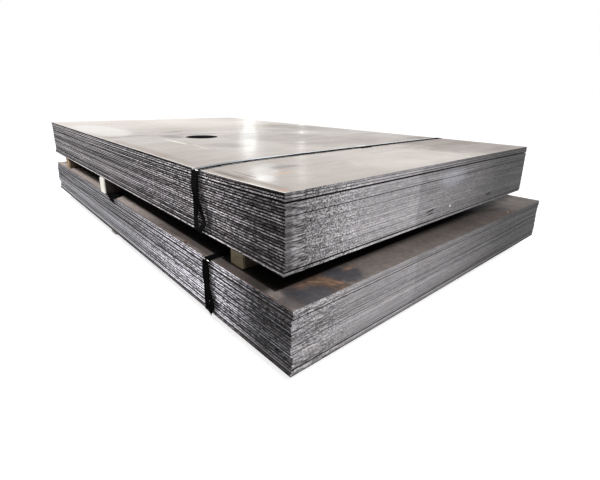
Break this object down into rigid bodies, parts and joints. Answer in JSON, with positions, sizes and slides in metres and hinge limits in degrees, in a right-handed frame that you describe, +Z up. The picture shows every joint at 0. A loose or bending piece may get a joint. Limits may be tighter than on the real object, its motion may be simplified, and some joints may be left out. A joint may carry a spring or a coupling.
{
  "type": "steel plate stack",
  "caption": "Strapped packs of flat rolled steel plate, one on another, with sawn spacers between them and sawn bearers beneath for lifting forks.",
  "frame": {"origin": "Middle of the stack at floor level, on the undersides of the bearers.", "axes": "+X along the plates' length, towards the end where the straps are; +Y across the plates, away from the front long side; +Z up."},
  "size_m": [2.2778, 1.4278, 0.4706],
  "materials": {
    "plate_steel": "hot-rolled steel, warm grey and glossy at a low angle, with light rust streaks and dark stains",
    "strap_steel": "blued and waxed steel strapping, near black",
    "spacer_timber": "rough-sawn softwood, pale, weathered to olive brown at one end",
    "bearer_timber": "rough-sawn softwood"
  },
  "bodies": {
    "root": {"upper_plate_01": "plate_steel", "upper_plate_02": "plate_steel", "upper_plate_03": "plate_steel", "upper_plate_04": "plate_steel", "upper_plate_05": "plate_steel", "upper_plate_06": "plate_steel", "upper_plate_07": "plate_steel", "upper_plate_08": "plate_steel", "upper_plate_09": "plate_steel", "upper_plate_10": "plate_steel", "upper_plate_11": "plate_steel", "upper_plate_12": "plate_steel", "upper_plate_13": "plate_steel", "upper_plate_14": "plate_steel", "upper_plate_15": "plate_steel", "upper_plate_16": "plate_steel", "upper_plate_17": "plate_steel", "upper_plate_18": "plate_steel", "upper_plate_19": "plate_steel", "upper_plate_20": "plate_steel", "upper_plate_21": "plate_steel", "upper_plate_22": "plate_steel", "upper_plate_23": "plate_steel", "upper_plate_24": "plate_steel", "upper_plate_25": "plate_steel", "lower_plate_01": "plate_steel", "lower_plate_02": "plate_steel", "lower_plate_03": "plate_steel", "lower_plate_04": "plate_steel", "lower_plate_05": "plate_steel", "lower_plate_06": "plate_steel", "lower_plate_07": "plate_steel", "lower_plate_08": "plate_steel", "lower_plate_09": "plate_steel", "lower_plate_10": "plate_steel", "lower_plate_11": "plate_steel", "lower_plate_12": "plate_steel", "lower_plate_13": "plate_steel", "lower_plate_14": "plate_steel", "lower_plate_15": "plate_steel", "lower_plate_16": "plate_steel", "lower_plate_17": "plate_steel", "lower_plate_18": "plate_steel", "lower_plate_19": "plate_steel", "lower_plate_20": "plate_steel", "lower_plate_21": "plate_steel", "lower_plate_22": "plate_steel", "lower_plate_23": "plate_steel", "upper_strap": "strap_steel", "upper_seal": "strap_steel", "lower_strap": "strap_steel", "lower_seal": "strap_steel", "spacer_near": "spacer_timber", "spacer_middle": "spacer_timber", "spacer_far": "spacer_timber", "bearer_near": "bearer_timber", "bearer_middle": "bearer_timber", "bearer_far": "bearer_timber"}
  },
  "joints": []
}
